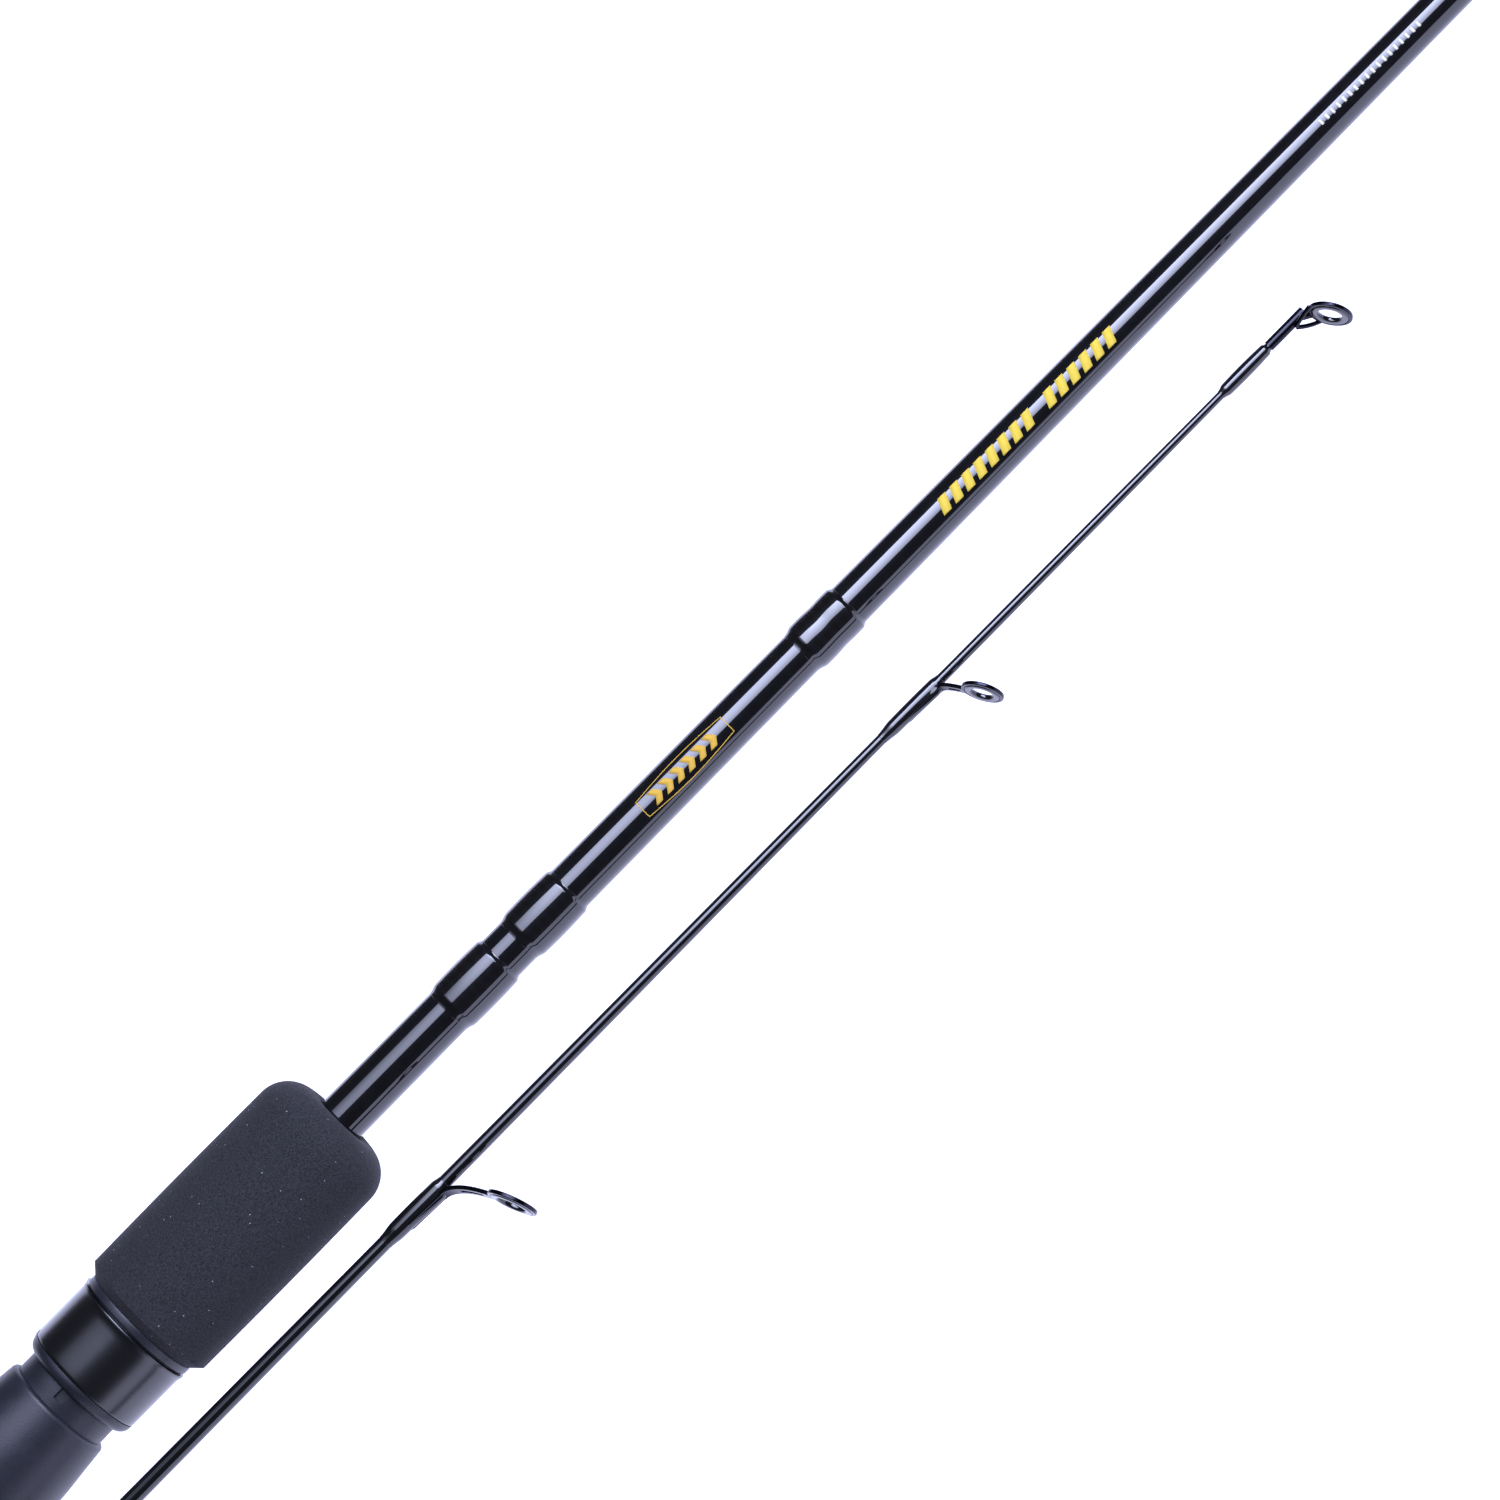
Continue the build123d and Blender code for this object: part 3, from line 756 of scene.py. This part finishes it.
# ---- Blanks and grips ---------------------------------------------------------------------
@dataclass
class Blank:
    """One tapered carbon section: stations of (distance, diameter) in mm."""

    name: str
    node: str
    body: Body
    stations: list[Point]
    bore: list[Point]
    origin: float = 0.0
    direction: float = 1.0

    def radius(self, x: float) -> float:
        """Outside radius at a place along X.

        Args:
            x: Place in the row's frame, mm.

        Returns:
            The radius in mm.
        """
        distance = (x - self.origin) * self.direction
        for (x0, d0), (x1, d1) in zip(self.stations, self.stations[1:]):
            if distance <= x1:
                return (d0 + (d1 - d0) * (distance - x0) / (x1 - x0)) / 2
        return self.stations[-1][1] / 2

    def axis(self) -> Point:
        """The section's (y, z) in mm, from its CAD node."""
        low, high = span(self.node)
        return (low.y + high.y) / 2, (low.z + high.z) / 2

    def build(self) -> bpy.types.Object:
        """Turn the tube, straight from each station to the next.

        Returns:
            The blank's object.
        """
        outer = []
        for (x0, d0), (x1, d1) in zip(self.stations, self.stations[1:]):
            steps = max(2, int((x1 - x0) / 12))
            outer += [(x0 + (x1 - x0) * i / steps, (d0 + (d1 - d0) * i / steps) / 2) for i in range(steps)]
        outer.append((self.stations[-1][0], self.stations[-1][1] / 2))
        outline = outer + [(x, d / 2) for x, d in self.bore]
        placed = [(self.origin + x * self.direction, r) for x, r in outline]
        piece = turn(self.name, placed, self.axis(), 80)
        dress(piece, CARBON, self.body, [self.node])
        return piece


@dataclass
class Grips:
    """Foam grips, trim ring, end cap and the nut whose flange shows behind the foregrip."""

    grip: float = 13.5
    chamfer: float = 1.7
    nose: float = 6.4
    rear_grip: float = 13.4
    waist: float = 12.4
    waist_length: float = 42.0
    cap: float = 13.2

    def fore(self) -> None:
        """Foregrip: chamfered rear, faint belly, well rounded front."""
        low, high = span("fore_grip")
        rear, front = low.x, high.x
        belly = [
            (
                rear + self.chamfer + (front - self.nose - rear - self.chamfer) * i / 24,
                self.grip - 0.06 + 0.11 * math.sin(math.pi * i / 24),
            )
            for i in range(25)
        ]
        corner = arc((front - self.nose, self.grip - 0.06 - self.nose), self.nose, 90, 6, 14)
        lip = [(front - 0.05, 5.4), (front - 0.35, 4.95), (front - 1.0, 4.78), (front - 8.0, 4.78)]
        bore = [(front - 8.0, 10.4), (rear + 24.0, 10.4), (rear + 24.0, 11.5), (rear, 11.5)]
        edge = [(rear, self.grip - self.chamfer - 0.15), (rear + 0.12, self.grip - self.chamfer)]
        piece = turn("foregrip_foam", edge + belly + corner + lip + bore, steps=160)
        dress(piece, FOAM, Body.GRIP, ["fore_grip"])

    def rear(self) -> None:
        """Rear grip: parallel, waisted towards the seat, softened ends."""
        low, high = span("rear_grip")
        rear, front = low.x, high.x
        waist_start = front - self.waist_length
        body = arc((rear + 1.6, self.rear_grip - 1.6), 1.6, 180, 90, 6)
        body += [(rear + 1.6 + (waist_start - rear - 1.6) * i / 10, self.rear_grip) for i in range(1, 10)]
        for i in range(25):
            share = i / 24
            ease = share * share * (3 - 2 * share)
            along = waist_start + (front - waist_start) * share
            body.append((along, self.rear_grip + (self.waist - self.rear_grip) * ease))
        body[-1] = (front - 0.5, self.waist)
        body.append((front, self.waist - 0.5))
        piece = turn("rear_grip_foam", body + [(front, 5.3), (rear, 5.3)], steps=160)
        dress(piece, FOAM, Body.BUTT, ["rear_grip"])

    def end_cap(self) -> None:
        """Rubber cap: rounded rim, dished face and two grooves."""
        low, high = span("butt_cap")
        rear, front = low.x, high.x
        outline = [(rear + 1.0, 0.0), (rear + 1.0, 7.6), (rear + 0.7, 8.2), (rear + 0.05, 8.6), (rear, 9.0)]
        outline += arc((rear + 2.4, self.cap - 2.4), 2.4, 180, 90, 10)
        for groove in (6.5, 9.7):
            x = rear + groove
            outline += [(x - 0.2, self.cap), (x, self.cap - 0.15)]
            outline += [(x + 0.2, self.cap - 0.6), (x + 1.0, self.cap - 0.6)]
            outline += [(x + 1.2, self.cap - 0.15), (x + 1.4, self.cap)]
        outline += [(front - 0.4, self.cap), (front, self.cap - 0.4), (front, 5.3)]
        outline += [(rear + 8.0, 5.3), (rear + 8.0, 0.0)]
        dress(turn("end_cap_rubber", outline), RUBBER, Body.BUTT, ["butt_cap"])

    def trim(self) -> None:
        """Anodised ring between grip and seat, with rounded edges and a groove."""
        low, high = span("grip_trim_ring")
        rear, front = low.x, high.x
        outline = [(rear, 5.3), (rear, 12.1)] + arc((rear + 0.6, 12.1), 0.6, 180, 90, 5)
        outline += [(rear + 1.6, 12.7), (rear + 1.75, 12.5), (rear + 2.25, 12.5), (rear + 2.4, 12.7)]
        outline += arc((front - 0.6, 12.1), 0.6, 90, 0, 5) + [(front, 5.3)]
        dress(turn("trim_ring", outline), ANODISED, Body.BUTT, ["grip_trim_ring"])

    def nut(self) -> None:
        """Nut: thin satin flange with rounded edges, and the sleeve inside the foam."""
        low, _ = span("lock_nut")
        rear = low.x
        face = span("fore_grip")[0].x
        outline = [(rear, 10.6), (rear, 11.3)] + arc((rear + 0.4, 11.3), 0.4, 180, 90, 5)
        outline += arc((face - 0.35, 11.35), 0.35, 90, 20, 4) + [(face, 11.45), (face + 24.0, 11.45)]
        outline += [(face + 24.0, 9.78), (rear + 6.0, 9.78), (rear + 6.0, 11.0)]
        outline += [(rear + 4.2, 11.0), (rear + 4.2, 10.6)]
        dress(turn("nut_flange", outline, steps=128), NYLON, Body.GRIP, ["lock_nut"])

    def build(self) -> None:
        """Make every turned handle piece."""
        self.fore()
        self.rear()
        self.end_cap()
        self.trim()
        self.nut()


# ---- Reel seat ----------------------------------------------------------------------------
@dataclass
class SlidingHood:
    """Gloss shell round the sliding hood: a circle and a hump joined by their tangents."""

    radius: float = 11.6
    hump: float = 7.2
    hump_centre: float = 7.0
    wall: float = 0.45
    roll: float = -97.3

    def section(self, x: float, offset: float, steps: int = 96) -> list[Vector]:
        """One ring of the shell.

        Args:
            x: Place along the rod, mm.
            offset: Added to both radii, mm.
            steps: Points in the ring.

        Returns:
            The ring's points, rolled to where the hood lies.
        """
        big, small = self.radius + offset, self.hump + offset
        meet = math.acos((big - small) / self.hump_centre)
        roll = math.radians(self.roll)
        ring = []
        for i in range(steps):
            a = math.tau * i / steps
            a = a - math.tau if a > math.pi else a
            if abs(a) <= meet:
                centre, radius = self.hump_centre, small
            else:
                centre, radius = 0.0, big
            up, side = centre + radius * math.cos(a), radius * math.sin(a)
            y = -up * math.sin(roll) - side * math.cos(roll)
            z = up * math.cos(roll) - side * math.sin(roll)
            ring.append(Vector((x, y, z)))
        return ring

    def build(self) -> None:
        """Loft the shell: eased rear edge, straight middle, flared front edge."""
        low, high = span("hood_cover")
        rear, front = low.x, high.x
        outside = [(rear, -0.32), (rear + 0.1, -0.12), (rear + 0.3, -0.02), (rear + 0.7, 0.0)]
        outside += [(rear + 2.0 + i * 1.2, 0.0) for i in range(6)]
        outside += [(front - 2.2, 0.0), (front - 1.5, 0.02), (front - 0.9, 0.1)]
        outside += [(front - 0.5, 0.22), (front - 0.22, 0.3)]
        outside += [(front - 0.06, 0.24), (front, 0.08)]
        rings = [self.section(x, offset) for x, offset in outside]
        rings += [self.section(front, -self.wall), self.section(rear, -self.wall)]
        dress(skin("hood_shell", rings, angle=40.0), LACQUER, Body.HOOD, ["hood_cover"])


# ---- Thread wraps -------------------------------------------------------------------------
@dataclass
class Wrap:
    """A thread wrap: where it is, how thick, and how far a guide's foot lifts it."""

    name: str
    node: str
    blank: Blank
    build_up: float = 0.5
    rear_ramp: float = 1.9
    front_ramp: float = 1.0
    crown: float = 0.15
    waist: float = 0.0
    lift: float = 0.0
    lift_start: float = 0.2
    lift_width: float = 0.75
    roll: float = 0.0
    ends: tuple[float, float] | None = None

    def build(self, tree: Tree) -> bpy.types.Object:
        """Run the wrap tree between the node's two ends.

        Args:
            tree: The wrap tree.

        Returns:
            The wrap's object.
        """
        low, high = span(self.node)
        start, end = self.ends or (low.x, high.x)
        y, z = self.blank.axis()
        sizes = {
            "Start": start * MM, "Length": (end - start) * MM,
            "Radius start": self.blank.radius(start) * MM, "Radius end": self.blank.radius(end) * MM,
            "Build": self.build_up * MM, "Rear ramp": self.rear_ramp * MM, "Front ramp": self.front_ramp * MM,
            "Turn": 0.32 * MM, "Ridge": 0.0003 * MM, "Crown": self.crown * MM, "Waist": self.waist * MM,
            "Lift": self.lift * MM, "Lift start": self.lift_start,
            "Lift width": self.lift_width, "Roll": math.radians(self.roll),
            "Axis Y": y * MM, "Axis Z": z * MM,
        }
        along = int((end - start) / 0.08)
        mesh = tree.run(self.name, unit_grid(along, 72), THREAD, sizes)
        piece = smooth_object(self.name, mesh, 60.0)
        shell = piece.modifiers.new("inner wall", "SOLIDIFY")
        shell.thickness = 0.06 * MM
        shell.offset = -1.0
        return piece


# ---- Printed marks ------------------------------------------------------------------------
@dataclass
class Print:
    """Gold, yellow and pale marks printed on the butt blank, as plain patterns with no lettering."""

    blank: Blank
    angle: float
    thickness: float = 0.03

    def patch(self, name: str, corners: Sequence[Point], size: float = 0.25) -> bpy.types.Mesh:
        """Flat patch over a convex outline, divided finely enough to bend round the blank.

        Args:
            name: Mesh's name.
            corners: Outline in mm, along and across.
            size: Longest edge across, mm.

        Returns:
            The mesh in metres.
        """
        shape = bmesh.new()
        shape.faces.new([shape.verts.new((x * MM, y * MM, 0.0)) for x, y in corners])
        low = min(y for _, y in corners)
        high = max(y for _, y in corners)
        for i in range(1, int((high - low) / size)):
            cut = (low + i * size) * MM
            geometry = shape.verts[:] + shape.edges[:] + shape.faces[:]
            bmesh.ops.bisect_plane(shape, geom=geometry, plane_co=(0, cut, 0), plane_no=(0, 1, 0))
        mesh = bpy.data.meshes.new(name)
        shape.to_mesh(mesh)
        shape.free()
        return mesh

    def row(
        self, tree: Tree, name: str, mark: bpy.types.Mesh, start: float, count: int = 1, pitch: float = 1.0,
        slant: float = 0.0, fold: float = 0.0, ink: Finish = GOLD_INK,
    ) -> None:
        """Print a row of one mark.

        Args:
            tree: The mark tree.
            name: Piece's name.
            mark: The flat mark.
            start: Where the row starts, mm along X.
            count: How many.
            pitch: Their spacing, mm.
            slant: How far a mark leans along the rod for each mm across.
            fold: How far its two sides are swept back for each mm across.
            ink: Ink that it is printed in.
        """
        taper = (self.blank.radius(start + 10) - self.blank.radius(start)) / 10
        sizes = {
            "Count": count, "Pitch": pitch * MM, "Start": start * MM,
            "Taper": taper, "Slant": slant, "Fold": fold,
            "Radius": (self.blank.radius(start) + self.thickness) * MM, "Angle": math.radians(self.angle),
        }
        piece = smooth_object(name, tree.run(name, mark, ink, sizes), 60.0)
        film = piece.modifiers.new("film", "SOLIDIFY")
        film.thickness = self.thickness * MM
        film.offset = -1.0
        dress(piece, ink, Body.BUTT)

    def band(self, name: str, outline: Sequence[Point], width: float) -> bpy.types.Mesh:
        """Thin line round a closed outline.

        Args:
            name: Mesh's name.
            outline: Corners in mm, in order.
            width: Line's width, mm.

        Returns:
            The mesh in metres.
        """
        fine: list[Point] = []
        for (x0, y0), (x1, y1) in zip(outline, list(outline[1:]) + [outline[0]]):
            steps = max(1, int(math.hypot(x1 - x0, y1 - y0) / 0.3))
            fine += [(x0 + (x1 - x0) * i / steps, y0 + (y1 - y0) * i / steps) for i in range(steps)]
        centre = (sum(x for x, _ in outline) / len(outline), sum(y for _, y in outline) / len(outline))
        reach_x = max(x for x, _ in outline) - centre[0]
        reach_y = max(y for _, y in outline) - centre[1]
        inner = [
            (
                centre[0] + (x - centre[0]) * (1 - width / reach_x),
                centre[1] + (y - centre[1]) * (1 - width / reach_y),
            )
            for x, y in fine
        ]
        points = [(x * MM, y * MM, 0.0) for x, y in fine + inner]
        count = len(fine)
        faces = [(i, (i + 1) % count, (i + 1) % count + count, i + count) for i in range(count)]
        mesh = bpy.data.meshes.new(name)
        mesh.from_pydata(points, [], faces)
        return mesh

    def build(self, tree: Tree, grip_front: float) -> None:
        """Print the framed panel, the long row and the fine row.

        Args:
            tree: The mark tree.
            grip_front: The foregrip's front, mm.
        """
        start = grip_front + 75.8
        half, bow, length = 1.85, 2.5, 21.2
        top = [(length * i / 12, half + (bow - half) * math.sin(math.pi * i / 12)) for i in range(13)]
        frame_line = top + [(x, -y) for x, y in reversed(top)]
        self.row(tree, "panel_frame", self.band("panel_frame", frame_line, 0.16), start)
        chevron = self.patch("chevron", [(0, -1.4), (1.5, -1.4), (1.5, 1.4), (0, 1.4)])
        self.row(tree, "panel_chevrons", chevron, start + 3.4, 6, 2.7, fold=0.75)
        bar = self.patch("bar", [(0, -1.5), (1.9, -1.5), (1.9, 1.5), (0, 1.5)])
        self.row(tree, "long_row_rear", bar, grip_front + 150.1, 8, 2.95, -0.4, ink=YELLOW_INK)
        self.row(tree, "long_row_front", bar, grip_front + 176.3, 6, 2.95, -0.4, ink=YELLOW_INK)
        tick = self.patch("tick", [(0, -0.55), (0.5, -0.55), (0.5, 0.55), (0, 0.55)])
        self.row(tree, "fine_row", tick, grip_front + 244.6, 18, 1.42, ink=PALE_INK)


# ---- Studio -------------------------------------------------------------------------------
@dataclass
class Studio:
    """Camera, bright floor, overhead soft box and a dim room."""

    target_ahead: float = 96.5
    target_across: float = 5.5
    distance: float = 1050.0
    lens: float = 143.6
    elevation: float = 49.5
    turn_in_picture: float = 45.4
    floor_light: float = 2.05
    floor_reach: float = 80.0
    room_light: float = 0.09
    box_height: float = 600.0
    box_size: tuple[float, float] = (900.0, 480.0)
    box_light: tuple[float, float] = (0.8, 13.4)
    box_sides: tuple[float, float] = (0.45, 1.45)
    box_turn: float = 18.0

    def camera(self, grip_front: float) -> None:
        """Camera above the rod's side, rolled so that the rod runs corner to corner.

        Args:
            grip_front: The foregrip's front, mm.
        """
        up = math.radians(self.elevation)
        back = Vector((0, -math.cos(up), math.sin(up)))
        across = Vector((0, -math.sin(up), -math.cos(up)))
        roll = math.radians(self.turn_in_picture)
        right = Vector((1, 0, 0)) * math.cos(roll) + across * math.sin(roll)
        upward = Vector((1, 0, 0)) * math.sin(roll) - across * math.cos(roll)
        target = Vector((grip_front + self.target_ahead, 0, 0)) + across * self.target_across
        place = (target + back * self.distance) * MM
        lens = bpy.data.cameras.new("camera")
        lens.lens = self.lens
        lens.sensor_width = 36.0
        camera = bpy.data.objects.new("camera", lens)
        turned = Matrix((right, upward, back)).transposed()
        camera.matrix_world = Matrix.Translation(place) @ turned.to_4x4()
        bpy.context.scene.collection.objects.link(camera)
        bpy.context.scene.camera = camera

    def floor(self, height: float) -> None:
        """Large pale floor that is lit from all over.

        Args:
            height: Its height in metres.
        """
        mesh = bpy.data.meshes.new("floor")
        reach = self.floor_reach
        turns = ((-1, -1), (1, -1), (1, 1), (-1, 1))
        corners = [(reach * x, reach * y, height) for x, y in turns]
        mesh.from_pydata(corners, [], [(0, 1, 2, 3)])
        floor = bpy.data.objects.new("floor", mesh)
        bpy.context.scene.collection.objects.link(floor)
        paper = bpy.data.materials.new("white_paper")
        paper.use_nodes = True
        shader = paper.node_tree.nodes["Principled BSDF"]
        shader.inputs["Base Color"].default_value = linear("6c6c70")
        shader.inputs["Roughness"].default_value = 1.0
        shader.inputs["Specular IOR Level"].default_value = 0.0
        shader.inputs["Emission Color"].default_value = linear("d8dbff")
        shader.inputs["Emission Strength"].default_value = self.floor_light
        mesh.materials.append(paper)
        floor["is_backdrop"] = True

    def lights(self, grip_front: float) -> None:
        """Soft box overhead, brighter towards the tip, and an even dim room.

        Args:
            grip_front: The foregrip's front, mm.
        """
        lamp = bpy.data.lights.new("soft_box", "AREA")
        lamp.shape = "RECTANGLE"
        lamp.size, lamp.size_y = (s * MM for s in self.box_size)
        area = lamp.size * lamp.size_y
        lamp.energy = math.pi * area
        lamp.color = linear("d4dbff")[:3]
        lamp.use_nodes = True
        tree = lamp.node_tree
        spread = add_node(tree, "ShaderNodeNewGeometry").outputs["Parametric"]
        split = add_node(tree, "ShaderNodeSeparateXYZ", {0: spread})
        along, across = split.outputs[0], split.outputs[1]
        dim, bright = self.box_light
        power = add_node(
            tree, "ShaderNodeMapRange",
            {"Value": along, "From Min": 0.1, "From Max": 0.46, "To Min": dim, "To Max": bright},
            interpolation_type="SMOOTHSTEP",
        )
        near, far = self.box_sides
        edge = add_node(tree, "ShaderNodeMapRange", {"Value": across, "To Min": near, "To Max": far})
        both = Field(tree, power.outputs[0]) * Field(tree, edge.outputs[0])
        tree.links.new(both.value, tree.nodes["Emission"].inputs["Strength"])
        box = bpy.data.objects.new("soft_box", lamp)
        centre = Vector((grip_front + self.target_ahead + 90.0, -130.0, self.box_height)) * MM
        box.matrix_world = Matrix.Translation(centre) @ Matrix.Rotation(math.radians(-self.box_turn), 4, "Z")
        box.visible_camera = False
        bpy.context.scene.collection.objects.link(box)
        world = bpy.data.worlds.new("room")
        world.use_nodes = True
        background = world.node_tree.nodes["Background"]
        background.inputs["Color"].default_value = linear("dfe2ee")
        background.inputs["Strength"].default_value = self.room_light
        bpy.context.scene.world = world
        bpy.context.scene.view_settings.view_transform = "Standard"


# ---- Assembly -----------------------------------------------------------------------------
GUIDE_NAMES = ("guide_1", "guide_2", "guide_3", "guide_4", "guide_5")
TIP_ROLL = 94.5  # degrees that the tip section is turned on its axis
PRINT_ANGLE = 33.0  # degrees from the top of the butt blank to the middle of the print
FLOOR_GAP = 0.0002  # metres from the part's lowest point down to the floor


def main() -> None:
    """Build the rod's looks in order."""
    logging.basicConfig(level=logging.INFO, format="%(message)s")
    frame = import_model()
    cad_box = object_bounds()
    grip_front = span("fore_grip")[1].x
    studio = Studio()
    studio.camera(grip_front)

    tip_ring = span("tip_top_ring")
    tip_x = (tip_ring[0].x + tip_ring[1].x) / 2
    butt = Blank(
        "butt_tube", "butt_blank", Body.BUTT,
        [
            (8.0, 10.3), (310.0, 9.2), (398.0, 8.76), (581.0, 7.0),
            (868.0, 5.6), (870.0, 5.5), (929.4, 5.5), (930.0, 5.1),
        ],
        [(930.0, 3.5), (581.0, 5.0), (310.0, 7.2), (8.0, 8.2)],
    )
    tip = Blank(
        "tip_tube", "tip_blank", Body.TIP,
        [
            (3.8, 1.44), (190.0, 2.44), (293.0, 3.05), (500.0, 4.1),
            (868.0, 6.2), (872.0, 6.7), (929.6, 6.8), (930.0, 6.5),
        ],
        [(930.0, 5.56), (866.0, 5.56), (866.0, 5.0), (330.0, 1.4), (330.0, 0.0), (3.8, 0.0)],
        origin=tip_x, direction=-1.0,
    )
    butt.build()
    tip.build()
    Grips().build()
    SlidingHood().build()

    tree = wrap_tree()
    wraps = [
        Wrap("grip_wrap", "wrap_rear", butt, 0.4),
        Wrap("second_wrap", "wrap_middle", butt, 0.38),
        Wrap("third_wrap", "wrap_front", butt, 0.42, waist=0.16),
        Wrap("butt_ferrule_wrap", "ferrule_wrap_butt", butt, 0.32),
        Wrap("tip_ferrule_wrap", "ferrule_wrap_tip", tip, 0.32),
        Wrap("tip_top_binding", "tip_top_wrap", tip, 0.32, 1.4, 0.8),
    ]
    for name in GUIDE_NAMES:
        wraps.append(
            Wrap(
                f"{name}_binding", f"{name}_wrap", tip, 0.26, 3.0, 1.6, 0.12,
                lift=0.75, lift_width=0.5, roll=TIP_ROLL,
            )
        )
    for wrap in wraps:
        dress(wrap.build(tree), THREAD, wrap.blank.body, [wrap.node])

    Print(butt, PRINT_ANGLE).build(mark_tree(), grip_front)

    for node in frame["nodes"]:
        if node.endswith("_frame"):
            recoat(frame, node, CHROME)
        elif node.endswith("_ring") and node != "grip_trim_ring":
            recoat(frame, node, CERAMIC)
    for node, finish in (
        ("reel_seat_body", NYLON), ("sliding_hood", NYLON),
        ("seat_arbors", ARBOR), ("stripper_guide_wraps", THREAD),
    ):
        recoat(frame, node, finish)

    studio.floor(cad_box[0].z - FLOOR_GAP)
    studio.lights(grip_front)


if __name__ == "__main__":
    main()
